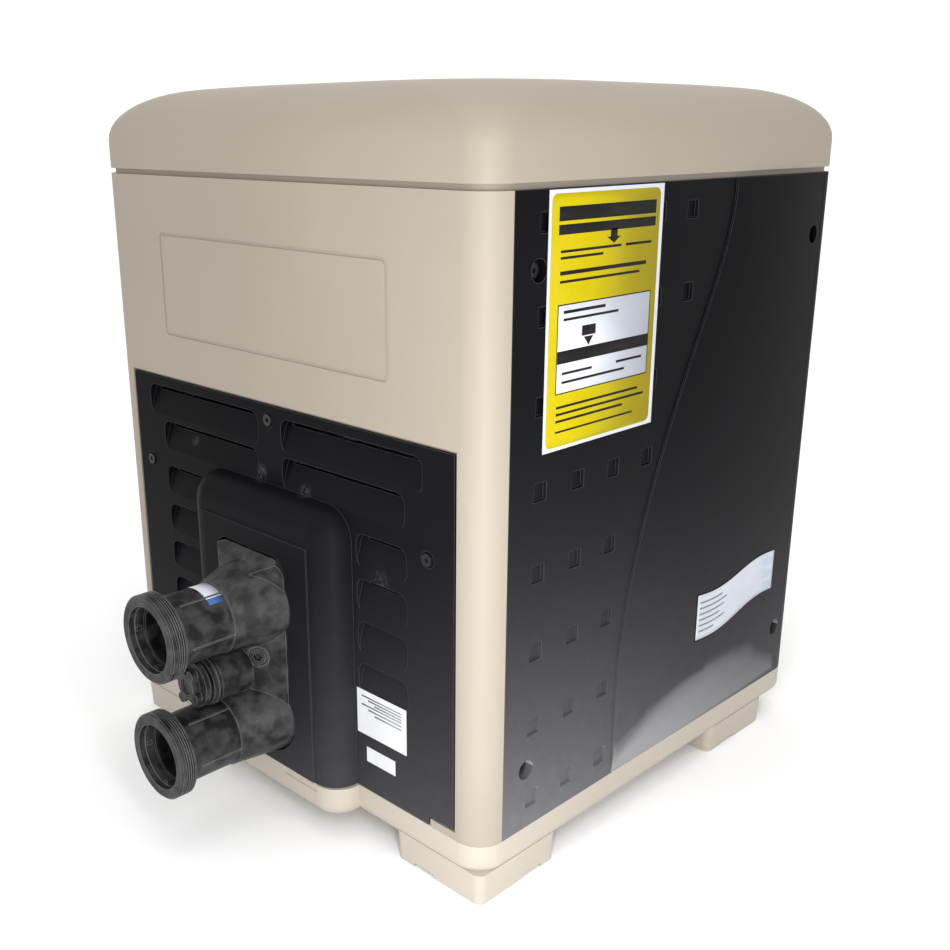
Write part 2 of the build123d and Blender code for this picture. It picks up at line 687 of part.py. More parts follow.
def make_water_manifold():
    """Moulded inlet and outlet manifold: two ports, a flared core, a drain stub and a flange."""
    ports = (lower_port_z, upper_port_z)
    pipe_start = mouth_x + thread_length
    with BuildPart() as manifold:
        for z in ports:
            rod_x(pipe_radius, pipe_start - 1, flange_x, 0, z)
            flare_z, flare_height = flares[z]
            with BuildSketch(Plane.YZ.offset(flare_start)):
                with Locations((0, z)):
                    Ellipse(pipe_radius + flare_step, pipe_radius + flare_step - 0.1)
            with BuildSketch(Plane.YZ.offset(flare_end)):
                with Locations((0, flare_z)):
                    Ellipse(flare_half, flare_height)
            loft()
            with BuildSketch(Plane.YZ.offset(flare_end)):
                with Locations((0, flare_z)):
                    Ellipse(flare_half, flare_height)
            extrude(amount=core_front - flare_end + 3)
            with BuildSketch(Plane.XZ):
                with BuildLine():
                    Polyline(*thread_profile(z))
                make_face()
            revolve(axis=Axis((0, 0, z), (1, 0, 0)))
            for angle in rib_angles:
                radial = (0, -math.cos(math.radians(angle)), math.sin(math.radians(angle)))
                rib_plane = Plane((pipe_start + 34, 0, z), x_dir=(1, 0, 0), z_dir=radial)
                with BuildSketch(rib_plane.offset(pipe_radius - 1)):
                    Rectangle(rib_length, rib_wall)
                extrude(amount=1.8)
        # core behind the window and the wedge between the ports, with its sloped top
        with BuildSketch(Plane.YZ.offset(core_front)):
            with Locations((0, (lower_port_z + core_top) / 2)):
                Rectangle(2 * core_half - 8, core_top - lower_port_z)
            for z in ports:
                with Locations((0, z)):
                    Circle(core_half)
        extrude(amount=flange_x - core_front)
        add(manifold_wedge().part)
        rod_x(stub_radius, stub_end, ridge_x + 2, 0, stub_z)
        rod_x(stub_radius + 1.2, stub_end + 5, stub_end + 9, 0, stub_z)
        # blind moulded boss on the wedge's slanted side
        boss_rim, boss_groove, boss_core, boss_hex = 11.0, 9.6, 7.4, 5.0
        face_middle = ((ridge_x + wedge_x) / 2 - 4, (ridge_y[0] + wedge_y[0]) / 2 + 6, stub_z + 16)
        outward = (wedge_y[0] - ridge_y[0], ridge_x - wedge_x, 0)
        boss_plane = Plane(face_middle, z_dir=outward)
        with BuildSketch(boss_plane.offset(-3)):
            Circle(boss_rim)
            Circle(boss_groove, mode=Mode.SUBTRACT)
        extrude(amount=3.9)
        with BuildSketch(boss_plane.offset(-3)):
            Circle(boss_core)
        extrude(amount=4.4)
        with BuildSketch(boss_plane.offset(3)):
            RegularPolygon(boss_hex, 6)
        extrude(amount=-8, mode=Mode.SUBTRACT)
        # flange against the tube sheet
        box_between((flange_x - flange_wall, -flange_half, flange_low), (flange_x, flange_half, flange_high))
        for z in ports:
            rod_x(pipe_bore, mouth_x + thread_length, flange_x + 1, 0, z, mode=Mode.SUBTRACT)
            rod_x(socket_bore, mouth_x, mouth_x + thread_length, 0, z, mode=Mode.SUBTRACT)
            rod_x(port_bore, mouth_x - 1, mouth_x + port_depth, 0, z, mode=Mode.SUBTRACT)
            with Locations(Location((mouth_x + port_depth + 3, 0, z), (0, 90, 0))):
                with PolarLocations(socket_bore - lug_height / 2 + 0.5, 4):
                    Box(lug_height + 1, 5, 5)
        # drain bore, bypass passage with its seat and the spring's guide
        rod_x(stub_bore, stub_end - 1, core_front, 0, stub_z, mode=Mode.SUBTRACT)
        rod_x(5, core_front - 4, valve_x, 0, stub_z, mode=Mode.SUBTRACT)
        rod_z(13, lower_port_z, upper_port_z, valve_x, 0, mode=Mode.SUBTRACT)
        rod_z(valve_radius + 1, valve_seat_z, upper_port_z, valve_x, 0, mode=Mode.SUBTRACT)
        rod_z(4, guide_z, upper_port_z + pipe_bore + 2, valve_x, 0)
        rod_z(10, guide_z, guide_z + 3, valve_x, 0)
        for y, z in bolt_places:
            rod_x(bolt_radius + bolt_gap, flange_x - 20, flange_x + 1, y, z, mode=Mode.SUBTRACT)
    return manifold


def make_manifold_bolts():
    """Six hex bolts through the flange, gasket and tube sheet."""
    head = flange_x - flange_wall
    with BuildPart() as bolts:
        for y, z in bolt_places:
            with BuildSketch(Plane.YZ.offset(head - bolt_head)):
                with Locations((y, z)):
                    RegularPolygon(bolt_head_radius, 6)
            extrude(amount=bolt_head)
            rod_x(bolt_radius, head, flange_x + 12, y, z)
    return bolts


def make_drain_plug():
    """Drain plug with a four-lobed handle, screwed into the manifold's stub."""
    seat = stub_end - 3.4
    plug_flange = 5.0
    handle = 8.0
    lobe_radius = 5.0
    lobe_reach = 15.0
    front = seat - plug_flange - handle
    with BuildPart() as plug:
        rod_x(stub_radius - 1, seat - plug_flange, seat, 0, stub_z)
        rod_x(stub_bore - running_gap, seat, stub_end + 15, 0, stub_z)
        rod_x(12, front, seat - plug_flange, 0, stub_z)
        for angle in (30, 120, 210, 300):
            lobe_y = lobe_reach * math.cos(math.radians(angle))
            lobe_z = stub_z + lobe_reach * math.sin(math.radians(angle))
            rod_x(lobe_radius, front, seat - plug_flange - 1.5, lobe_y, lobe_z)
            with Locations(Location(((front + seat - plug_flange) / 2, lobe_y / 2, (stub_z + lobe_z) / 2),
                                    (angle, 0, 0))):
                Box(handle, lobe_reach, 1.4 * lobe_radius)
        rod_x(8, front - 1, front + 2, 0, stub_z, mode=Mode.SUBTRACT)
        rod_x(10, stub_end + 2, stub_end + 16, 0, stub_z, mode=Mode.SUBTRACT)
    return plug


def make_drain_plug_o_ring():
    """Seal between the plug's flange and the stub."""
    with BuildPart() as ring:
        with BuildSketch(Plane.XZ):
            with Locations((stub_end - 1.7, stub_z + 17.8)):
                Circle(1.5)
        revolve(axis=Axis((0, 0, stub_z), (1, 0, 0)))
    return ring


def make_bypass_valve():
    """Spring-loaded disc that lets water pass from the inlet to the outlet side."""
    with BuildPart() as valve:
        rod_z(valve_radius, valve_seat_z + 0.05, valve_seat_z + valve_thickness, valve_x, 0)
        rod_z(3, valve_seat_z - 30, valve_seat_z + 1, valve_x, 0)
    return valve


def make_bypass_spring():
    """Compression spring between the bypass disc and the guide collar."""
    wire = 0.9
    low = valve_seat_z + valve_thickness + wire + 0.05
    high = guide_z - wire - 0.05
    with BuildPart() as spring:
        with BuildLine():
            Helix(pitch=(high - low) / 4, height=high - low, radius=7, center=(valve_x, 0, low))
        with BuildSketch(Plane((valve_x + 7, 0, low), z_dir=(0, 1, 0))):
            Circle(wire)
        sweep(is_frenet=True)
    return spring


def make_thermal_governor():
    """Thermostat cartridge seated in the outlet bore."""
    with BuildPart() as governor:
        rod_x(pipe_bore - 0.1, flange_x - 4, flange_x, 0, upper_port_z)
        rod_x(12, flange_x - 4, flange_x, 0, upper_port_z, mode=Mode.SUBTRACT)
        rod_x(13, flange_x - 22, flange_x - 3, 0, upper_port_z)
        rod_x(8, flange_x - 19, flange_x, 0, upper_port_z, mode=Mode.SUBTRACT)
    return governor


# ------------------------------------------------------------------ heat exchanger and burner
sheet_wall = 6.0
gasket_wall = 2.0
tube_end_radius = 9.0
tube_end_gap = 0.05
tube_end_y = 27.0
fin_pitch = 5.0
fin_wall = 1.6
fin_height = 3.0
tub_wall = 3.0
header_half = 56.0
header_low, header_high = 89.0, 326.0
sheet_back = flange_x + gasket_wall + sheet_wall


def make_header_gasket():
    """Gasket between the manifold's flange and the tube sheet."""
    with BuildPart() as gasket:
        box_between((flange_x, -flange_half, flange_low), (flange_x + gasket_wall, flange_half, flange_high))
        for z in (lower_port_z, upper_port_z):
            rod_x(pipe_bore, flange_x - 1, flange_x + 5, 0, z, mode=Mode.SUBTRACT)
        for y, z in bolt_places:
            rod_x(bolt_radius + bolt_gap, flange_x - 1, flange_x + 5, y, z, mode=Mode.SUBTRACT)
    return gasket


def make_tube_sheet():
    """Steel plate that the finned tubes end in."""
    with BuildPart() as sheet:
        box_between((flange_x + gasket_wall, -flange_half, flange_low),
                    (sheet_back, flange_half, header_high + 8))
        for ring in range(ring_count):
            z = first_ring_z + ring * ring_pitch
            for side in (-1, 1):
                rod_x(tube_end_radius + tube_end_gap, flange_x, sheet_back + 1, side * tube_end_y, z,
                      mode=Mode.SUBTRACT)
        for y, z in bolt_places:
            rod_x(bolt_radius + 0.1, flange_x, sheet_back + 1, y, z, mode=Mode.SUBTRACT)
    return sheet


def make_finned_tubes():
    """Stack of coiled tubes with ribbed fins, each with two straight ends into the tube sheet."""
    fins = 5
    with BuildPart() as tubes:
        for ring in range(ring_count):
            z = first_ring_z + ring * ring_pitch
            with BuildSketch(Plane.XZ):
                with Locations((tub_x + ring_radius, z)):
                    Circle(tube_radius - fin_height)
                    for fin in range(fins):
                        with Locations((0, (fin - (fins - 1) / 2) * fin_pitch)):
                            Rectangle(2 * tube_radius, fin_wall)
            revolve(axis=Axis((tub_x, 0, z), (0, 0, 1)))
            for side in (-1, 1):
                rod_x(tube_end_radius, flange_x + gasket_wall, tub_x - ring_radius + 6, side * tube_end_y, z)
    return tubes


def make_combustion_tub():
    """Round tub around the coil, with a flat throat to the tube sheet and a flue outlet."""
    with BuildPart() as tub:
        rod_z(tub_radius, tub_bottom, tub_top, tub_x, 0)
        box_between((sheet_back, -header_half - tub_wall, header_low),
                    (tub_x - tub_radius + 30, header_half + tub_wall, header_high))
        rod_x(duct_radius + tub_wall, tub_x + tub_radius - 30, tub_x + tub_radius + 12, 0, duct_z)
        rod_z(tub_radius + 12, tub_top - 6, tub_top, tub_x, 0)
        rod_z(tub_radius - tub_wall, tub_bottom + tub_wall, tub_top + 1, tub_x, 0, mode=Mode.SUBTRACT)
        box_between((sheet_back - 1, -header_half, header_low + tub_wall),
                    (tub_x - tub_radius + 30, header_half, header_high - tub_wall), mode=Mode.SUBTRACT)
        rod_x(duct_radius, tub_x + tub_radius - 30, tub_x + tub_radius + 13, 0, duct_z, mode=Mode.SUBTRACT)
    return tub


def make_tub_insulation():
    """Ceramic-fibre lining of the tub, cut away at the throat and the flue."""
    with BuildPart() as lining:
        rod_z(tub_radius - tub_wall - 0.2, tub_bottom + tub_wall, tub_top - 2, tub_x, 0)
        rod_z(tub_radius - tub_wall - 12, tub_bottom + tub_wall + 8, tub_top, tub_x, 0, mode=Mode.SUBTRACT)
        box_between((tub_x - tub_radius - 5, -header_half, header_low), (tub_x - 80, header_half, tub_top + 1),
                    mode=Mode.SUBTRACT)
        rod_x(duct_radius, tub_x + 90, tub_x + tub_radius + 5, 0, duct_z, mode=Mode.SUBTRACT)
    return lining


electrode_reach = 101.0
electrode_radius = 4.1
electrode_gap = 0.1
electrode_collar = 9.0
electrode_wire = 1.2
electrode_places = {"igniter": (tub_x + electrode_reach, 0.0), "flame_sensor": (tub_x, electrode_reach)}


def make_burner_deck():
    """Lid plate of the tub, which carries the burner and the electrodes."""
    with BuildPart() as deck:
        rod_z(tub_radius + 12, tub_top, tub_top + deck_thickness, tub_x, 0)
        rod_z(burner_radius + 1, tub_top - 1, tub_top + 20, tub_x, 0, mode=Mode.SUBTRACT)
        for x, y in electrode_places.values():
            rod_z(electrode_radius + electrode_gap, tub_top - 1, tub_top + 20, x, y, mode=Mode.SUBTRACT)
    return deck


def make_flame_holder():
    """Perforated cylinder that hangs from the deck by its flange."""
    hole_rows, holes_round, hole_radius = 5, 12, 3.5
    first_hole, hole_pitch = 25.0, 24.0
    with BuildPart() as holder:
        rod_z(burner_radius, burner_bottom, tub_top + deck_thickness + 2, tub_x, 0)
        rod_z(burner_radius + 16, tub_top + deck_thickness, tub_top + deck_thickness + 4, tub_x, 0)
        rod_z(burner_radius - 2, burner_bottom + 2, tub_top + 40, tub_x, 0, mode=Mode.SUBTRACT)
        for row in range(hole_rows):
            z = burner_bottom + first_hole + row * hole_pitch
            with Locations(Location((tub_x, 0, z))):
                with PolarLocations(burner_radius, holes_round):
                    Cylinder(hole_radius, 12, rotation=(0, 90, 0), mode=Mode.SUBTRACT)
    return holder


def make_electrode(name):
    """Ceramic-bodied electrode through the deck."""
    x, y = electrode_places[name]
    with BuildPart() as electrode:
        rod_z(electrode_radius, tub_top - 30, tub_top + 26, x, y)
        rod_z(electrode_wire, tub_top - 90, tub_top + 36, x, y)
        rod_z(electrode_collar, tub_top + deck_thickness, tub_top + deck_thickness + 3, x, y)
    return electrode


# ------------------------------------------------------------------ blower and gas train
motor_z = blower_base + blower_height
rotor_low = blower_base + 14.0
rotor_high = blower_base + 56.0
inlet_z = blower_base + 34.0
blade_count = 20
valve_low = (130.0, -178.0, 385.0)
valve_high = (205.0, -118.0, 455.0)
knob_radius = 16.0
knob_height = 14.0
knob_stem = 4.0
blower_wall = 3.0
inlet_radius = 32.0
inlet_x = tub_x + 40.0
inlet_start = -blower_radius - 40.0
motor_radius = 44.0
motor_height = 62.0
mixer_flange = 36.0
mixer_radius = 30.0
mixer_bore = 24.0
mixer_length = 60.0


def make_blower_housing():
    """Drum-shaped blower housing over the flame holder, with a side inlet."""
    with BuildPart() as housing:
        rod_z(blower_radius, blower_base, motor_z, tub_x, 0)
        rod_y(inlet_radius, inlet_start, -40, inlet_x, inlet_z - 1)
        rod_z(blower_radius - blower_wall, blower_base + blower_wall, motor_z - blower_wall, tub_x, 0,
              mode=Mode.SUBTRACT)
        rod_z(burner_radius - 4, blower_base - 5, blower_base + 10, tub_x, 0, mode=Mode.SUBTRACT)
        rod_z(14, motor_z - 10, motor_z + 10, tub_x, 0, mode=Mode.SUBTRACT)
        rod_y(inlet_radius - 4, inlet_start - 1, -60, inlet_x, inlet_z - 1, mode=Mode.SUBTRACT)
    return housing


def make_blower_impeller():
    """Centrifugal impeller: hub disc and a ring of blades."""
    blade_outer = 74.0
    with BuildPart() as impeller:
        rod_z(blade_outer, rotor_high - 3, rotor_high, tub_x, 0)
        rod_z(12, rotor_high - 22, rotor_high, tub_x, 0)
        with Locations(Location((tub_x, 0, (rotor_low + rotor_high) / 2))):
            with PolarLocations(blade_outer - 12, blade_count):
                Box(22, 2, rotor_high - rotor_low, rotation=(0, 0, 28))
        rod_z(shaft_radius, rotor_low - 5, rotor_high + 5, tub_x, 0, mode=Mode.SUBTRACT)
    return impeller


def make_blower_shaft():
    """Motor shaft that carries the impeller."""
    with BuildPart() as shaft:
        rod_z(shaft_radius, rotor_high - 24, motor_z + 50, tub_x, 0)
    return shaft


def make_blower_motor():
    """Motor on top of the housing, with a bore for its shaft."""
    with BuildPart() as motor:
        rod_z(motor_radius, motor_z, motor_z + motor_height, tub_x, 0)
        fillet(motor.edges().group_by(Axis.Z)[-1], radius=8)
        rod_z(shaft_radius + shaft_gap, motor_z - 1, motor_z + 51, tub_x, 0, mode=Mode.SUBTRACT)
    return motor


def make_air_gas_mixer():
    """Venturi on the blower's inlet, fed with gas from its side."""
    with BuildPart() as mixer:
        rod_y(mixer_flange, inlet_start - 12, inlet_start, inlet_x, inlet_z - 1)
        rod_y(mixer_radius, inlet_start - mixer_length, inlet_start - 12, inlet_x, inlet_z - 1)
        rod_x(12, inlet_x + 20, valve_low[0], inlet_start - 30, inlet_z - 1)
        rod_y(mixer_bore, inlet_start - mixer_length - 1, inlet_start + 1, inlet_x, inlet_z - 1,
              mode=Mode.SUBTRACT)
    return mixer


def make_gas_valve():
    """Gas valve body with inlet and outlet bosses and a seat for its knob."""
    x = (valve_low[0] + valve_high[0]) / 2
    y = (valve_low[1] + valve_high[1]) / 2
    with BuildPart() as valve:
        box_between(valve_low, valve_high)
        fillet(valve.edges().filter_by(Axis.Z), radius=6)
        rod_x(19, valve_high[0] - 5, valve_high[0] + 12, gas_y, gas_z)
        rod_x(gas_pipe_radius + 0.2, valve_high[0] - 10, valve_high[0] + 13, gas_y, gas_z, mode=Mode.SUBTRACT)
        rod_z(22, valve_high[2] - 2, valve_high[2] + 6, x, y)
        rod_z(knob_stem + shaft_gap, valve_high[2] - 12, valve_high[2] + 8, x, y, mode=Mode.SUBTRACT)
    return valve


def make_gas_valve_knob():
    """Quarter-turn on/off knob of the gas valve."""
    x = (valve_low[0] + valve_high[0]) / 2
    y = (valve_low[1] + valve_high[1]) / 2
    top = valve_high[2] + 6.3
    with BuildPart() as knob:
        rod_z(knob_radius, top, top + knob_height, x, y)
        rod_z(knob_stem, valve_high[2] - 11, top + 1, x, y)
        box_between((x - knob_radius + 1, y - 3, top + knob_height - 2),
                    (x + knob_radius - 1, y + 3, top + knob_height + 6))
    return knob


def make_gas_inlet_pipe():
    """Threaded steel stub from the gas valve to the exhaust-side panel."""
    with BuildPart() as pipe:
        end = half_width + gas_reach
        rod_x(gas_pipe_radius + 0.2, valve_high[0] - 8, half_width + 1, gas_y, gas_z)
        rod_x(gas_pipe_radius, half_width + 1, end, gas_y, gas_z)
        rod_x(10.5, valve_high[0] - 9, end + 1, gas_y, gas_z, mode=Mode.SUBTRACT)
    return pipe


# ------------------------------------------------------------------ exhaust
grille_bars = 9


def make_flue_duct():
    """Square-mouthed duct from the tub to the exhaust grille."""
    start = tub_x + tub_radius + 12
    with BuildPart() as duct:
        rod_x(duct_radius + tub_wall, start, half_width - 16, 0, duct_z)
        box_between((half_width - 34, -grille_half + 6, duct_z - grille_half + 6),
                    (half_width - 12, grille_half - 6, duct_z + grille_half - 6))
        rod_x(duct_radius, start - 1, half_width - 20, 0, duct_z, mode=Mode.SUBTRACT)
        box_between((half_width - 31, -grille_half + 9, duct_z - grille_half + 9),
                    (half_width, grille_half - 9, duct_z + grille_half - 9), mode=Mode.SUBTRACT)
    return duct


def make_exhaust_grille():
    """Metal grille set flush in the exhaust-side panel."""
    half = grille_half - 0.5
    with BuildPart() as grille:
        box_between((half_width - 5, -half, duct_z - half), (half_width, half, duct_z + half))
        pitch = 2 * (half - 12) / grille_bars
        for bar in range(grille_bars):
            z = duct_z - half + 12 + (bar + 0.5) * pitch
            for side in (-1, 1):
                y0, y1 = sorted((side * 4, side * (half - 12)))
                box_between((half_width - 6, y0, z - pitch * 0.3), (half_width + 1, y1, z + pitch * 0.3),
                            mode=Mode.SUBTRACT)
    return grille


# ------------------------------------------------------------------ controls and safety switches
box_low = (-225.0, -228.5, 430.0)
box_high = (-60.0, -188.5, 560.0)
junction_low = (206.0, 120.0, 320.0)
junction_high = (half_width - wall, 200.0, 400.0)
box_wall = 3.0
relay_count = 4
relay_pitch = 26.0
core_low, core_high = (-200.0, 170.0, 470.0), (-150.0, 210.0, 520.0)
winding_low, winding_high = (-194.0, 162.0, 478.0), (-156.0, 218.0, 512.0)
plate_low, plate_high = (-206.0, 200.0, 464.0), (-144.0, 226.0, 470.0)
module_low, module_high = (-90.0, 190.0, 470.0), (0.0, 222.0, 530.0)
shelf_edge_low, shelf_edge_high = (-193.0, 226.0, 440.0), (206.0, 228.5, 470.0)
shelf_low, shelf_high = (-210.0, 160.0, 462.0), (10.0, 228.5, 464.0)
switch_x = -225.0
limit_y = -14.0
sensor_y = 18.0
pressure_x = -232.0


def make_control_box():
    """Open-fronted plastic box on the front posts that holds the control board."""
    with BuildPart() as box:
        box_between(box_low, box_high)
        box_between((box_low[0] + 3, box_low[1] - 1, box_low[2] + 3),
                    (box_high[0] - 3, box_high[1] - 3, box_high[2] - 3), mode=Mode.SUBTRACT)
    return box


def make_control_board():
    """Control board with its relays and connectors."""
    with BuildPart() as board:
        back = box_high[1] - 3
        box_between((box_low[0] + 5, back - 6, box_low[2] + 5), (box_high[0] - 5, back - 4, box_high[2] - 5))
        for x in (box_low[0] + 12, box_high[0] - 12):
            for z in (box_low[2] + 12, box_high[2] - 12):
                rod_y(3, back - 5, back, x, z)
        for index in range(relay_count):
            x = box_low[0] + 30 + index * relay_pitch
            box_between((x, back - 20, box_low[2] + 16), (x + 18, back - 5, box_low[2] + 34))
        box_between((box_low[0] + 60, back - 9, box_low[2] + 60), (box_low[0] + 84, back - 5, box_low[2] + 84))
    return board


def make_transformer():
    """Control transformer: laminated core and winding, on the rear post's shelf."""
    with BuildPart() as transformer:
        box_between(core_low, core_high)
        box_between(winding_low, winding_high)
        box_between(plate_low, plate_high)
    return transformer


def make_ignition_module():
    """Sealed ignition module."""
    with BuildPart() as module:
        box_between(module_low, module_high)
        fillet(module.edges().filter_by(Axis.Y), radius=5)
        rod_z(5, module_high[2] - 1, module_high[2] + 10, module_high[0] - 20,
              (module_low[1] + module_high[1]) / 2)
    return module


def make_rear_shelf():
    """Sheet-metal shelf between the rear posts that carries the transformer and the module."""
    with BuildPart() as shelf:
        box_between(shelf_edge_low, shelf_edge_high)
        box_between(shelf_low, shelf_high)
    return shelf


def make_junction_box():
    """Field-wiring box behind the exhaust-side panel, with a conduit entry."""
    with BuildPart() as box:
        box_between(junction_low, junction_high)
        box_between((junction_low[0] - 1, junction_low[1] + 3, junction_low[2] + 3),
                    (junction_high[0] - 3, junction_high[1] - 3, junction_high[2] - 3), mode=Mode.SUBTRACT)
        rod_x(conduit_radius, junction_low[0], half_width + 1, conduit_y, conduit_z, mode=Mode.SUBTRACT)
    return box


def make_terminal_block():
    """Screw terminal block in the junction box."""
    with BuildPart() as block:
        box_between((junction_low[0] + 6, junction_low[1] + 12, junction_low[2] + 3),
                    (junction_low[0] + 24, junction_high[1] - 12, junction_low[2] + 21))
        for index in range(4):
            y = junction_low[1] + 20 + index * 13
            rod_z(3, junction_low[2] + 12, junction_low[2] + 22, junction_low[0] + 15, y, mode=Mode.SUBTRACT)
    return block


def make_high_limit_switch():
    """Snap-disc switch on top of the manifold's core."""
    with BuildPart() as switch:
        rod_z(12, core_top, core_top + 8, switch_x, limit_y)
        rod_z(8, core_top + 8, core_top + 14, switch_x, limit_y)
        for blade_x in (switch_x - 3, switch_x + 3):
            box_between((blade_x - 1, limit_y - 6, core_top + 14), (blade_x + 1, limit_y + 6, core_top + 22))
    return switch


def make_temperature_sensor():
    """Thermistor with a hexagonal head on top of the manifold's core."""
    with BuildPart() as sensor:
        with BuildSketch(Plane.XY.offset(core_top)):
            with Locations((switch_x, sensor_y)):
                RegularPolygon(9, 6)
        extrude(amount=7)
        rod_z(4, core_top + 7, core_top + 20, switch_x, sensor_y)
    return sensor


def make_water_pressure_switch():
    """Water pressure switch on the side of the manifold's core."""
    with BuildPart() as switch:
        rod_y(7, core_half - 4, core_half + 14, pressure_x, stub_z + 6)
        rod_y(20, core_half + 14, core_half + 30, pressure_x, stub_z + 6)
        rod_y(9, core_half + 30, core_half + 42, pressure_x, stub_z + 6)
    return switch


# ------------------------------------------------------------------ labels
label_film = 0.4
door_label_x = (-195.0, -46.0)
door_label_z = (skirt_top + 341.0, skirt_top + 545.0)
panel_label_places = [((-176.0, -111.0), (58.0, 103.0)), ((-161.0, -123.0), (31.0, 46.0))]


def make_door_label():
    """Blank film label on the front door's flat field."""
    with BuildPart() as label:
        box_between((door_label_x[0], -half_depth - label_film, door_label_z[0]),
                    (door_label_x[1], -half_depth, door_label_z[1]))
    return label


def make_panel_labels():
    """Two blank film labels low on the louvre panel."""
    with BuildPart() as labels:
        for (low_y, high_y), (low_z, high_z) in panel_label_places:
            box_between((panel_front - label_film, low_y, skirt_top + low_z),
                        (panel_front, high_y, skirt_top + high_z))
    return labels


for maker, name in (
        (make_base, "base"), (make_frame_posts, "frame_posts"), (make_top_frame, "top_frame"),
        (make_water_side_jacket, "water_side_jacket"), (make_exhaust_side_jacket, "exhaust_side_jacket"),
        (make_lid, "lid"), (make_control_bezel, "control_bezel"), (make_display_module, "display_module"),
        (make_display_cover, "display_cover"), (make_cover_hinge_pin, "cover_hinge_pin"),
        (make_louvre_panel, "louvre_panel"), (make_louvre_panel_screws, "louvre_panel_screws"),
        (make_water_manifold, "water_manifold"), (make_manifold_bolts, "manifold_bolts"),
        (make_drain_plug, "drain_plug"), (make_drain_plug_o_ring, "drain_plug_o_ring"),
        (make_bypass_valve, "bypass_valve"), (make_bypass_spring, "bypass_spring"),
        (make_thermal_governor, "thermal_governor"), (make_header_gasket, "header_gasket"),
        (make_tube_sheet, "tube_sheet"), (make_finned_tubes, "finned_tubes"),
        (make_combustion_tub, "combustion_tub"), (make_tub_insulation, "tub_insulation"),
        (make_burner_deck, "burner_deck"), (make_flame_holder, "flame_holder"),
        (make_blower_housing, "blower_housing"), (make_blower_impeller, "blower_impeller"),
        (make_blower_shaft, "blower_shaft"), (make_blower_motor, "blower_motor"),
        (make_air_gas_mixer, "air_gas_mixer"), (make_gas_valve, "gas_valve"),
        (make_gas_valve_knob, "gas_valve_knob"), (make_gas_inlet_pipe, "gas_inlet_pipe"),
        (make_flue_duct, "flue_duct"), (make_exhaust_grille, "exhaust_grille"),
        (make_control_box, "control_box"), (make_control_board, "control_board"),
        (make_transformer, "transformer"), (make_ignition_module, "ignition_module"),
        (make_rear_shelf, "rear_shelf"), (make_junction_box, "junction_box"),
        (make_terminal_block, "terminal_block"), (make_high_limit_switch, "high_limit_switch"),
        (make_temperature_sensor, "temperature_sensor"),
        (make_water_pressure_switch, "water_pressure_switch"), (make_door_label, "door_label"),
        (make_panel_labels, "panel_labels")):
    save(maker(), name)
for name in electrode_places:
    save(make_electrode(name), name)
for index, label in enumerate(button_names):
    save(make_button(index), f"button_{label}")
front_door = make_door()
front_screws = make_door_screws()
save(front_door, "front_door")
save(front_screws, "front_door_screws")
save(mirrored(front_door), "rear_door")
save(mirrored(front_screws), "rear_door_screws")
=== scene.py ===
"""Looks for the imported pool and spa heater: camera, light, materials and the finer visible pieces."""

import json
import math

import bmesh
import bpy
from mathutils import Matrix, Vector


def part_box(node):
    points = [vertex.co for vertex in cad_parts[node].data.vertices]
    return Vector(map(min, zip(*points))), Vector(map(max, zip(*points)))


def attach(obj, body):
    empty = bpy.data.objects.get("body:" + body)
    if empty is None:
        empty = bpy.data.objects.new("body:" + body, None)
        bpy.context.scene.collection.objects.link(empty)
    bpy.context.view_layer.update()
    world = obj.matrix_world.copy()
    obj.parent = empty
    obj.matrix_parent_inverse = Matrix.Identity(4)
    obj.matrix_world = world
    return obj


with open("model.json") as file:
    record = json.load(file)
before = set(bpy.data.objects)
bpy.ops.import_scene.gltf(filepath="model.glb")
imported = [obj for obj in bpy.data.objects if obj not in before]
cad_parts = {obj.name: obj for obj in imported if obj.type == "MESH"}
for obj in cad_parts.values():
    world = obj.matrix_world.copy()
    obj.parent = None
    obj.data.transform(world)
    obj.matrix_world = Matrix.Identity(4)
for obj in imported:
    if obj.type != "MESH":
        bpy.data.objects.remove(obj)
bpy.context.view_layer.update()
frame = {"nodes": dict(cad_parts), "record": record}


# ------------------------------------------------------------------ places taken from the frame
def corner(node, low):
    """One extreme corner of a CAD node, as a vector in metres."""
    return Vector(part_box(node)[0 if low else 1])


lid_low, lid_high = corner("lid", True), corner("lid", False)
body_x = (lid_low.x + lid_high.x) / 2
half_depth = lid_high.y
skirt_top = corner("front_door", True).z


# ------------------------------------------------------------------ camera and light
def make_camera():
    """The photograph's view: low three-quarter, from the corner between doors and ports."""
    distance_x, distance_y, height = -0.8756, -0.8245, 0.646
    yaw, pitch, roll = math.radians(44.81), math.radians(18.18), math.radians(-0.15)
    forward = Vector((math.sin(yaw) * math.cos(pitch), math.cos(yaw) * math.cos(pitch), -math.sin(pitch)))
    right = Vector((math.cos(yaw), -math.sin(yaw), 0.0))
    up = right.cross(forward)
    turned_right = right * math.cos(roll) + up * math.sin(roll)
    turned_up = up * math.cos(roll) - right * math.sin(roll)
    data = bpy.data.cameras.new("camera")
    data.sensor_width = 36.0
    data.lens = 43.25
    data.shift_x = 0.0477
    data.shift_y = 0.0268
    data.clip_start = 0.01
    camera = bpy.data.objects.new("camera", data)
    matrix = Matrix((turned_right, turned_up, -forward)).transposed().to_4x4()
    matrix.translation = Vector((body_x + distance_x, distance_y, height))
    camera.matrix_world = matrix
    bpy.context.scene.collection.objects.link(camera)
    bpy.context.scene.camera = camera


def area_light(name, place, target, width, height, power):
    """A soft rectangular light at a place, facing a target."""
    data = bpy.data.lights.new(name, "AREA")
    data.shape = "RECTANGLE"
    data.size = width
    data.size_y = height
    data.energy = power
    light = bpy.data.objects.new(name, data)
    light.location = place
    light.rotation_euler = (Vector(target) - Vector(place)).to_track_quat("-Z", "Y").to_euler()
    bpy.context.scene.collection.objects.link(light)


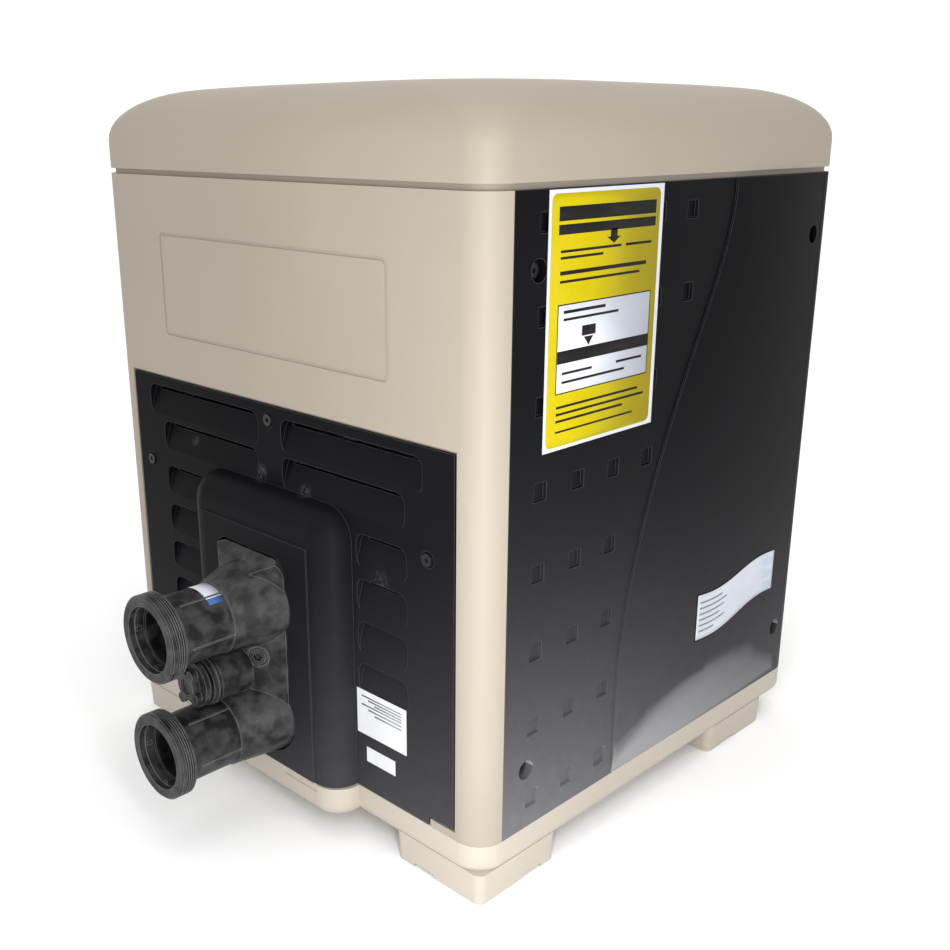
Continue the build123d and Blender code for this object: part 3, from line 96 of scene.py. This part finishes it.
def make_studio():
    """White surroundings, a pale floor, a tall strip light by the near corner and a top fill."""
    scene = bpy.context.scene
    scene.view_settings.view_transform = "Standard"
    world = bpy.data.worlds.new("studio")
    scene.world = world
    world.use_nodes = True
    background = world.node_tree.nodes["Background"]
    background.inputs["Color"].default_value = (1.0, 1.0, 1.0, 1.0)
    background.inputs["Strength"].default_value = 1.1
    area_light("corner_strip", (body_x - 0.56, -0.56, 0.36), (body_x - 0.26, -0.26, 0.42), 0.10, 0.80, 4.2)
    area_light("top_fill", (body_x - 0.2, -0.2, 1.9), (body_x, 0.0, 0.68), 0.9, 0.9, 5.0)
    floor_mesh = bpy.data.meshes.new("floor")
    reach = 12.0
    floor_mesh.from_pydata([(-reach, -reach, 0), (reach, -reach, 0), (reach, reach, 0), (-reach, reach, 0)],
                           [], [(0, 1, 2, 3)])
    floor = bpy.data.objects.new("floor", floor_mesh)
    scene.collection.objects.link(floor)
    floor_mesh.materials.append(floor_material())


# ------------------------------------------------------------------ materials
def new_material(name):
    """An empty material with its node tree and shader."""
    material = bpy.data.materials.new(name)
    material.use_nodes = True
    tree = material.node_tree
    return material, tree, tree.nodes["Principled BSDF"]


def noise_node(tree, scale, detail=3.0):
    """A noise texture in the object's own coordinates."""
    place = tree.nodes.new("ShaderNodeTexCoord")
    noise = tree.nodes.new("ShaderNodeTexNoise")
    noise.inputs["Scale"].default_value = scale
    noise.inputs["Detail"].default_value = detail
    tree.links.new(place.outputs["Object"], noise.inputs["Vector"])
    return noise


def map_range(tree, value, source, target=(0.0, 1.0), smooth=False):
    """A value carried from one range to another and held within it."""
    node = tree.nodes.new("ShaderNodeMapRange")
    if smooth:
        node.interpolation_type = "SMOOTHSTEP"
    for socket, number in zip(("From Min", "From Max", "To Min", "To Max"), (*source, *target)):
        node.inputs[socket].default_value = number
    tree.links.new(value, node.inputs["Value"])
    return node.outputs["Result"]


def combine(tree, operation, first, second):
    """Two values joined by a maths operation; the second may be a plain number."""
    node = tree.nodes.new("ShaderNodeMath")
    node.operation = operation
    tree.links.new(first, node.inputs[0])
    if isinstance(second, float):
        node.inputs[1].default_value = second
    else:
        tree.links.new(second, node.inputs[1])
    return node.outputs["Value"]


def mixed(tree, amount, under, over):
    """One colour laid over another by an amount."""
    mix = tree.nodes.new("ShaderNodeMix")
    mix.data_type = "RGBA"
    tree.links.new(amount, mix.inputs["Factor"])
    tree.links.new(under, mix.inputs["A"])
    mix.inputs["B"].default_value = (*over, 1)
    return mix.outputs["Result"]


def laid_over(material, amount, colour):
    """Lays a colour over what the material's base colour is so far."""
    tree = material.node_tree
    base = tree.nodes["Principled BSDF"].inputs["Base Color"]
    tree.links.new(mixed(tree, amount, base.links[0].from_socket, colour), base)


def distance_to(tree, point, centre):
    """Distance from a shaded point to a fixed one."""
    node = tree.nodes.new("ShaderNodeVectorMath")
    node.operation = "DISTANCE"
    node.inputs[1].default_value = centre
    tree.links.new(point, node.inputs[0])
    return node.outputs["Value"]


def height_of(tree, vector):
    """The Z part of a vector."""
    split = tree.nodes.new("ShaderNodeSeparateXYZ")
    tree.links.new(vector, split.inputs["Vector"])
    return split.outputs["Z"]


def floor_material():
    """Bright matte paper-white floor."""
    material, tree, shader = new_material("floor_white")
    shader.inputs["Base Color"].default_value = (0.97, 0.97, 0.97, 1)
    shader.inputs["Roughness"].default_value = 0.9
    shader.inputs["Specular IOR Level"].default_value = 0.1
    return material


def cloudy(name, dark, light, roughness, grain=900.0, bump=0.04, mottle=6.0, specular=0.5, metallic=0.0,
           spread=(0.3, 0.7), edge_highlight_colour=None):
    """Two close tones in soft clouds, a fine grained surface and uneven gloss."""
    material, tree, shader = new_material(name)
    nodes, links = tree.nodes, tree.links
    cloud = noise_node(tree, mottle, 4.0)
    ramp = nodes.new("ShaderNodeValToRGB")
    ramp.color_ramp.elements[0].position = spread[0]
    ramp.color_ramp.elements[0].color = (*dark, 1)
    ramp.color_ramp.elements[1].position = spread[1]
    ramp.color_ramp.elements[1].color = (*light, 1)
    fine = noise_node(tree, grain)
    gloss = map_range(tree, cloud.outputs["Fac"], (0.0, 1.0), (roughness - 0.05, roughness + 0.07))
    relief = nodes.new("ShaderNodeBump")
    relief.inputs["Strength"].default_value = bump
    relief.inputs["Distance"].default_value = 0.001
    links.new(cloud.outputs["Fac"], ramp.inputs["Fac"])
    colour = ramp.outputs["Color"]
    # Optional painted highlights along the edges
    if edge_highlight_colour:
        colour = painted_edge_highlights(tree, colour, edge_highlight_colour)
    links.new(colour, shader.inputs["Base Color"])
    links.new(gloss, shader.inputs["Roughness"])
    links.new(fine.outputs["Fac"], relief.inputs["Height"])
    links.new(relief.outputs["Normal"], shader.inputs["Normal"])
    shader.inputs["Specular IOR Level"].default_value = specular
    shader.inputs["Metallic"].default_value = metallic
    return material


def painted_edge_highlights(tree, colour, edge_highlight_colour):
    """Painted highlights: lighter lines along edges, found by how far a bevelled normal leans from the true
    one.
    """
    bevel = tree.nodes.new("ShaderNodeBevel")
    bevel.samples = 6
    bevel.inputs["Radius"].default_value = 0.0009
    geometry = tree.nodes.new("ShaderNodeNewGeometry")
    lean = tree.nodes.new("ShaderNodeVectorMath")
    lean.operation = "DOT_PRODUCT"
    tree.links.new(bevel.outputs["Normal"], lean.inputs[0])
    tree.links.new(geometry.outputs["Normal"], lean.inputs[1])
    edge = map_range(tree, lean.outputs["Value"], (0.995, 0.90))
    return mixed(tree, edge, colour, edge_highlight_colour)


def scuffed(material, spots, light):
    """Adds pale rubbed spots: each is a centre in the object's frame, a radius and a strength."""
    tree = material.node_tree
    place = tree.nodes.new("ShaderNodeTexCoord")
    rough = noise_node(tree, 260.0, 6.0)
    total = None
    for centre, radius, strength in spots:
        away = distance_to(tree, place.outputs["Object"], centre)
        fade = map_range(tree, away, (0.0, radius), (strength, 0.0))
        total = fade if total is None else combine(tree, "MAXIMUM", total, fade)
    broken = map_range(tree, rough.outputs["Fac"], (0.42, 0.60))
    laid_over(material, combine(tree, "MULTIPLY", total, broken), light)


def scoop_painted_reflection(material, colour):
    """A painted reflection of the pale floor on the door's scoop, the only low face that leans outwards."""
    tree = material.node_tree
    place = tree.nodes.new("ShaderNodeTexCoord")
    leaning = map_range(tree, height_of(tree, place.outputs["Normal"]), (-0.03, -0.09))
    scoop_top = skirt_top + 0.060
    low = map_range(tree, height_of(tree, place.outputs["Object"]), (scoop_top + 0.015, scoop_top))
    laid_over(material, combine(tree, "MULTIPLY", leaning, low), colour)


def film(name, colour, roughness=0.42):
    """Printed label film: an almost even colour with faint unevenness and a soft gloss."""
    shade = tuple(0.9 * channel for channel in colour)
    return cloudy(name, shade, colour, roughness, grain=2200.0, bump=0.01, mottle=22.0, specular=0.05)


def dust_and_painted_reflection(material, colour, most):
    """Pale dusting and a painted reflection of the pale floor and the corner light on an outdoor cabinet:
    thick near the ground and round the near corner, thinning upwards.
    """
    tree = material.node_tree
    place = tree.nodes.new("ShaderNodeTexCoord")
    dust_and_reflection_top = skirt_top + 0.50
    height = map_range(tree, height_of(tree, place.outputs["Object"]), (skirt_top, dust_and_reflection_top), (1.0, 0.0))
    thinning = combine(tree, "POWER", height, 3.6)
    flat = tree.nodes.new("ShaderNodeVectorMath")
    flat.operation = "MULTIPLY"
    flat.inputs[1].default_value = (1.0, 1.0, 0.0)
    tree.links.new(place.outputs["Object"], flat.inputs[0])
    away = distance_to(tree, flat.outputs["Vector"], (lid_low.x, lid_low.y, 0.0))
    side = map_range(tree, away, (0.02, 0.42), (most, 0.42 * most), smooth=True)
    speckle = noise_node(tree, 90.0, 6.0)
    uneven = map_range(tree, speckle.outputs["Fac"], (0.0, 1.0), (0.85, 1.15))
    amount = combine(tree, "MULTIPLY", combine(tree, "MULTIPLY", thinning, side), uneven)
    laid_over(material, amount, colour)


def clear_plastic(name):
    """Slightly smoky clear cover."""
    material, tree, shader = new_material(name)
    haze = noise_node(tree, 30.0)
    rough = map_range(tree, haze.outputs["Fac"], (0.0, 1.0), (0.03, 0.12))
    tree.links.new(rough, shader.inputs["Roughness"])
    shader.inputs["Base Color"].default_value = (0.78, 0.80, 0.82, 1)
    shader.inputs["Transmission Weight"].default_value = 1.0
    shader.inputs["IOR"].default_value = 1.46
    return material


def display_material():
    """Dark liquid-crystal display with a faint cell grid."""
    material, tree, shader = new_material("display_glass")
    place = tree.nodes.new("ShaderNodeTexCoord")
    grid = tree.nodes.new("ShaderNodeTexBrick")
    grid.offset = 0.0
    grid.inputs["Scale"].default_value = 260.0
    grid.inputs["Mortar Size"].default_value = 0.03
    grid.inputs["Color1"].default_value = (0.060, 0.085, 0.060, 1)
    grid.inputs["Color2"].default_value = (0.064, 0.092, 0.064, 1)
    grid.inputs["Mortar"].default_value = (0.045, 0.062, 0.046, 1)
    turn = tree.nodes.new("ShaderNodeMapping")
    turn.inputs["Rotation"].default_value = (math.radians(90), 0, 0)
    tree.links.new(place.outputs["Object"], turn.inputs["Vector"])
    tree.links.new(turn.outputs["Vector"], grid.inputs["Vector"])
    tree.links.new(grid.outputs["Color"], shader.inputs["Base Color"])
    shader.inputs["Roughness"].default_value = 0.12
    return material


tan = cloudy("tan_moulded", (0.300, 0.261, 0.212), (0.322, 0.280, 0.228), 0.50, grain=1100.0, bump=0.05,
             mottle=5.0, specular=0.25)
# Paler copy of the tan plastic for the base: painted floor-bounce light on the low moulding
tan_painted_floor_light = cloudy("tan_base_painted_light", (0.42, 0.378, 0.323), (0.445, 0.400, 0.342), 0.52, grain=1100.0, bump=0.05,
                  mottle=5.0, specular=0.25)
dark_low, dark_high = (0.0028, 0.0029, 0.0036), (0.0042, 0.0044, 0.0055)
# Colour of the pale dusting together with the painted reflection laid on the dark plastic
dust_and_reflection_colour = (0.135, 0.135, 0.146)
charcoal = cloudy("charcoal_moulded", dark_low, dark_high, 0.44, grain=1500.0, bump=0.05, mottle=7.0,
                  specular=0.035, edge_highlight_colour=(0.050, 0.052, 0.062))
panel_charcoal = cloudy("panel_charcoal", dark_low, dark_high, 0.44, grain=1500.0, bump=0.05, mottle=7.0,
                        specular=0.035, edge_highlight_colour=(0.045, 0.047, 0.055))
glass_filled = cloudy("glass_filled_moulded", (0.009, 0.009, 0.010), (0.038, 0.038, 0.040), 0.40, grain=260.0,
                      bump=0.10, mottle=70.0, specular=0.18, spread=(0.40, 0.62),
                      edge_highlight_colour=(0.15, 0.15, 0.15))
# Dark plastic lightened low down and round the near corner: real dusting plus painted reflection
dust_and_painted_reflection(charcoal, dust_and_reflection_colour, 1.0)
# Painted floor reflection, lighter on the door's downward-leaning scoop
scoop_painted_reflection(charcoal, (0.27, 0.27, 0.28))
dust_and_painted_reflection(panel_charcoal, dust_and_reflection_colour, 0.32)
materials = {
    "tan_plastic": tan,
    "dark_plastic": charcoal,
    "manifold_plastic": glass_filled,
    "screw_steel": cloudy("blackened_screw", (0.006, 0.006, 0.007), (0.02, 0.02, 0.022), 0.42, mottle=240.0,
                          metallic=0.4),
    "plain_steel": cloudy("plain_steel", (0.40, 0.41, 0.42), (0.52, 0.53, 0.54), 0.34, grain=600.0,
                          mottle=14.0, metallic=1.0),
    "label_film": film("label_paper", (0.62, 0.63, 0.64)),
    "rubber_seal": cloudy("rubber", (0.010, 0.010, 0.010), (0.020, 0.020, 0.020), 0.75, grain=700.0,
                          bump=0.1),
    "copper_tube": cloudy("copper", (0.55, 0.24, 0.13), (0.78, 0.38, 0.22), 0.30, mottle=30.0, metallic=1.0),
    "tub_metal": cloudy("galvanised", (0.42, 0.44, 0.46), (0.60, 0.62, 0.64), 0.42, mottle=45.0,
                        metallic=1.0),
    "ceramic_part": cloudy("ceramic", (0.66, 0.63, 0.57), (0.80, 0.78, 0.72), 0.70, grain=500.0, bump=0.2,
                           mottle=40.0),
    "cast_metal": cloudy("cast_aluminium", (0.30, 0.30, 0.31), (0.42, 0.42, 0.43), 0.52, grain=420.0,
                         bump=0.25, mottle=30.0, metallic=0.9),
    "board_green": cloudy("circuit_board", (0.01, 0.09, 0.03), (0.02, 0.14, 0.05), 0.35, mottle=120.0),
    "display_glass": display_material(),
    "clear_cover": clear_plastic("clear_cover"),
    "button_plastic": cloudy("button_grey", (0.22, 0.23, 0.25), (0.27, 0.28, 0.30), 0.45, mottle=60.0),
    "knob_red": cloudy("knob_red", (0.38, 0.012, 0.010), (0.46, 0.018, 0.014), 0.40, mottle=30.0),
    "brass_part": cloudy("brass", (0.56, 0.40, 0.14), (0.72, 0.54, 0.22), 0.32, mottle=60.0, metallic=1.0),
}
slot_of = {part["node"]: part["material_slot"] for part in frame["record"]["subparts"]}


def smooth_form(node):
    """Joins a node's patches by modifier, and shades it smooth except at its real edges."""
    tree = bpy.data.node_groups.new("smooth_" + node.name, "GeometryNodeTree")
    tree.interface.new_socket("Geometry", in_out="INPUT", socket_type="NodeSocketGeometry")
    tree.interface.new_socket("Geometry", in_out="OUTPUT", socket_type="NodeSocketGeometry")
    start = tree.nodes.new("NodeGroupInput")
    merge = tree.nodes.new("GeometryNodeMergeByDistance")
    merge.inputs["Distance"].default_value = 0.000002
    bend = tree.nodes.new("GeometryNodeInputMeshEdgeAngle")
    sharp = tree.nodes.new("FunctionNodeCompare")
    sharp.data_type = "FLOAT"
    sharp.operation = "GREATER_THAN"
    sharp.inputs["B"].default_value = math.radians(25)
    normals = tree.nodes.new("GeometryNodeSetMeshNormal")
    normals.mode = "SHARPNESS"
    end = tree.nodes.new("NodeGroupOutput")
    tree.links.new(start.outputs[0], merge.inputs["Geometry"])
    tree.links.new(merge.outputs["Geometry"], normals.inputs["Mesh"])
    tree.links.new(bend.outputs["Unsigned Angle"], sharp.inputs["A"])
    tree.links.new(sharp.outputs["Result"], normals.inputs["Edge Sharpness"])
    normals.inputs["Remove Custom"].default_value = True
    tree.links.new(normals.outputs["Mesh"], end.inputs[0])
    modifier = node.modifiers.new("smooth_form", "NODES")
    modifier.node_group = tree


# ------------------------------------------------------------------ printed labels
film_step = 0.00006
film_lift = 0.00006           # between printed layers on the curved field


def strip_mesh(name, patches, finish, body):
    """A thin printed piece: each patch is a grid of points, given a small thickness along its normal."""
    mesh = bmesh.new()
    for grid in patches:
        rows = [[mesh.verts.new(point) for point in row] for row in grid]
        for low, high in zip(rows, rows[1:]):
            for index in range(len(low) - 1):
                mesh.faces.new((low[index], low[index + 1], high[index + 1], high[index]))
    data = bpy.data.meshes.new(name)
    mesh.to_mesh(data)
    mesh.free()
    piece = bpy.data.objects.new(name, data)
    bpy.context.scene.collection.objects.link(piece)
    data.materials.append(finish)
    thick = piece.modifiers.new("film", "SOLIDIFY")
    thick.thickness = film_step / 2
    thick.offset = 0.0
    for polygon in data.polygons:
        polygon.use_smooth = True
    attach(piece, body)
    return piece


def rounded_outline(x0, x1, z0, z1, radius, steps=6):
    """Rows of points that fill a rounded rectangle, from its foot to its top."""
    rows = []
    for step in range(2 * steps + 2):
        lower = step <= steps
        angle = math.pi / 2 * (step if lower else 2 * steps + 1 - step) / steps
        inset = radius * (1 - math.sin(angle))
        height = radius * (1 - math.cos(angle))
        rows.append((x0 + inset, x1 - inset, z0 + height if lower else z1 - height))
    return rows


def make_energy_label():
    """Yellow energy-type label on the door: border, header block, arrow, framed box and blank bars."""
    low, high = corner("door_label", True), corner("door_label", False)
    wide, tall = high.x - low.x, high.z - low.z
    front = low.y

    def block(left, right, foot, top, level):
        """One printed rectangle, from shares of the label's width and of its height from the top."""
        y = front - level * film_step
        x0, x1 = low.x + left * wide, low.x + right * wide
        z0, z1 = high.z - foot * tall, high.z - top * tall
        return [[(x0, y, z0), (x1, y, z0)], [(x0, y, z1), (x1, y, z1)]]

    border = 0.02
    inner = rounded_outline(low.x + border * wide, high.x - 1.6 * border * wide, low.z + border * wide,
                            high.z - border * wide, 0.006)
    field = [[(x0, front - film_step, z), (x1, front - film_step, z)] for x0, x1, z in inner]
    strip_mesh("energy_label_field", [field], yellow_film, "front_door")
    black = [block(0.08, 0.93, 0.115, 0.062, 2), block(0.08, 0.93, 0.165, 0.128, 2),
             block(0.52, 0.58, 0.19, 0.16, 2), block(0.10, 0.62, 0.232, 0.222, 2),
             block(0.10, 0.46, 0.256, 0.246, 2), block(0.10, 0.86, 0.315, 0.300, 2),
             block(0.10, 0.80, 0.345, 0.335, 2), block(0.66, 0.90, 0.232, 0.222, 2),
             block(0.09, 0.92, 0.775, 0.425, 2), block(0.10, 0.84, 0.832, 0.822, 2),
             block(0.10, 0.90, 0.860, 0.850, 2), block(0.10, 0.70, 0.888, 0.878, 2),
             block(0.10, 0.80, 0.930, 0.922, 2)]
    arrow_y = front - 2 * film_step
    arrow_foot, arrow_top = high.z - 0.215 * tall, high.z - 0.19 * tall
    arrow_middle = low.x + 0.55 * wide
    black.append([[(arrow_middle, arrow_y, arrow_foot), (arrow_middle + 0.0005, arrow_y, arrow_foot)],
                  [(arrow_middle - 0.009, arrow_y, arrow_top), (arrow_middle + 0.009, arrow_y, arrow_top)]])
    strip_mesh("energy_label_black", black, black_film, "front_door")
    strip_mesh("energy_label_box", [block(0.097, 0.913, 0.770, 0.430, 3)], white_film, "front_door")
    bars = [block(0.14, 0.50, 0.462, 0.450, 4), block(0.14, 0.62, 0.490, 0.480, 4),
            block(0.097, 0.913, 0.655, 0.605, 4), block(0.14, 0.40, 0.700, 0.690, 4),
            block(0.62, 0.86, 0.700, 0.690, 4), block(0.14, 0.70, 0.735, 0.725, 4),
            block(0.30, 0.42, 0.560, 0.520, 4)]
    bar_y = front - 4 * film_step
    pointer_top, pointer_foot = high.z - 0.565 * tall, high.z - 0.600 * tall
    pointer = low.x + 0.36 * wide
    bars.append([[(pointer, bar_y, pointer_foot), (pointer + 0.0005, bar_y, pointer_foot)],
                 [(pointer - 0.006, bar_y, pointer_top), (pointer + 0.006, bar_y, pointer_top)]])
    strip_mesh("energy_label_bars", bars, black_film, "front_door")


def on_surface(node, start, direction, lift):
    """The point where a ray meets a CAD node, raised off it by a small lift."""
    hit, place = frame["nodes"][node].ray_cast(start, direction)[:2]
    if not hit:
        raise ValueError("no surface under the label")
    return place - Vector(direction) * lift


def make_maker_label():
    """Blank white label with waving edges, lying on the door's crowned field."""
    door = corner("front_door", True)
    columns, rows = 40, 8
    left, right = body_x + 0.045, body_x + 0.202

    def level(across, up):
        """Height of a place on the label: its edges wave and rise to the right."""
        foot = 0.098 + 0.011 * across - 0.004 * math.sin(math.tau * across)
        top = 0.150 + 0.006 * across - 0.004 * math.sin(math.tau * across)
        return skirt_top + foot + (top - foot) * up

    def patch(across_range, up_range, lift):
        """A grid over part of the label, dropped onto the door."""
        grid = []
        for row in range(rows + 1):
            up = up_range[0] + (up_range[1] - up_range[0]) * row / rows
            line = []
            for column in range(columns + 1):
                across = across_range[0] + (across_range[1] - across_range[0]) * column / columns
                start = (left + (right - left) * across, door.y - 0.1, level(across, up))
                line.append(on_surface("front_door", start, (0, 1, 0), lift))
            grid.append(line)
        return grid

    strip_mesh("maker_label_edge", [patch((0, 1), (0, 1), film_lift)], black_film, "front_door")
    face = patch((0.012, 0.988), (0.035, 0.965), 2 * film_lift)
    strip_mesh("maker_label_face", [face], white_film, "front_door")
    bar_places = ((0.78, 0.30), (0.66, 0.36), (0.54, 0.33), (0.42, 0.28), (0.30, 0.34), (0.18, 0.22))
    bars = [patch((0.04, end), (low, low + 0.04), 3 * film_lift) for low, end in bar_places]
    strip_mesh("maker_label_bars", bars, grey_film, "front_door")
    tile_columns = [(0.84 + 0.035 * column, 0.862 + 0.035 * column) for column in range(4)]
    tile_rows = [(0.1 + 0.28 * row, 0.26 + 0.28 * row) for row in range(3)]
    lattice = [patch(across, up, 3 * film_lift) for across in tile_columns for up in tile_rows]
    strip_mesh("maker_label_lattice", lattice, pale_film, "front_door")


def make_flow_label():
    """White and blue film wrapped round the upper pipe, just behind its ring."""
    pipe_z = skirt_top + 0.161
    ring = corner("water_manifold", True).x
    radius = 0.0331
    start_x, end_x = ring + 0.052, ring + 0.068

    steps = 24

    def band(low_angle, high_angle):
        """Part of a cylinder round the pipe."""
        grid = []
        for step in range(steps + 1):
            angle = low_angle + (high_angle - low_angle) * step / steps
            y, z = -math.sin(angle) * radius, math.cos(angle) * radius
            grid.append([(start_x, y, pipe_z + z), (end_x, y, pipe_z + z)])
        return grid

    strip_mesh("flow_label_paper", [band(-0.4, 0.55)], white_film, "cabinet")
    strip_mesh("flow_label_blue", [band(0.55, 0.75)], blue_film, "cabinet")


def make_panel_print():
    """Grey blank lines on the two small labels of the louvre panel."""
    low, high = corner("panel_labels", True), corner("panel_labels", False)
    lines = []
    for index, share in enumerate((0.92, 0.88, 0.84, 0.80, 0.75, 0.70)):
        z = low.z + share * (high.z - low.z)
        end = low.y + (0.9 - 0.13 * (index % 3)) * (high.y - low.y)
        x = low.x - film_step
        lines.append([[(x, low.y + 0.006, z - 0.001), (x, end, z - 0.001)],
                      [(x, low.y + 0.006, z + 0.0005), (x, end, z + 0.0005)]])
    strip_mesh("panel_label_lines", lines, grey_film, "cabinet")


# ------------------------------------------------------------------ assembly
white_film = film("white_film", (0.55, 0.57, 0.63))
yellow_film = film("yellow_film", (0.42, 0.34, 0.004))
black_film = film("black_film", (0.012, 0.012, 0.012))
grey_film = film("grey_film", (0.22, 0.23, 0.25))
pale_film = film("pale_film", (0.42, 0.52, 0.62))
blue_film = film("blue_film", (0.05, 0.12, 0.30))

for name, node in frame["nodes"].items():
    node.data.materials.clear()
    node.data.materials.append(materials[slot_of[name]])
panel_x = corner("louvre_panel", True).x + 0.03
scuffs = [((panel_x, 0.135, 0.345), 0.009, 0.5), ((panel_x, 0.02, 0.335), 0.012, 0.7),
          ((panel_x, -0.045, 0.33), 0.010, 0.5), ((panel_x, -0.145, 0.27), 0.016, 0.25)]
scuffed(panel_charcoal, scuffs, (0.10, 0.10, 0.11))
frame["nodes"]["louvre_panel"].data.materials[0] = panel_charcoal
frame["nodes"]["door_label"].data.materials[0] = white_film
# The base gets the paler tan copy, painted light from the floor
frame["nodes"]["base"].data.materials[0] = tan_painted_floor_light
for name in ("lid", "front_door", "rear_door"):
    smooth_form(frame["nodes"][name])

make_energy_label()
make_maker_label()
make_flow_label()
make_panel_print()
make_camera()
make_studio()
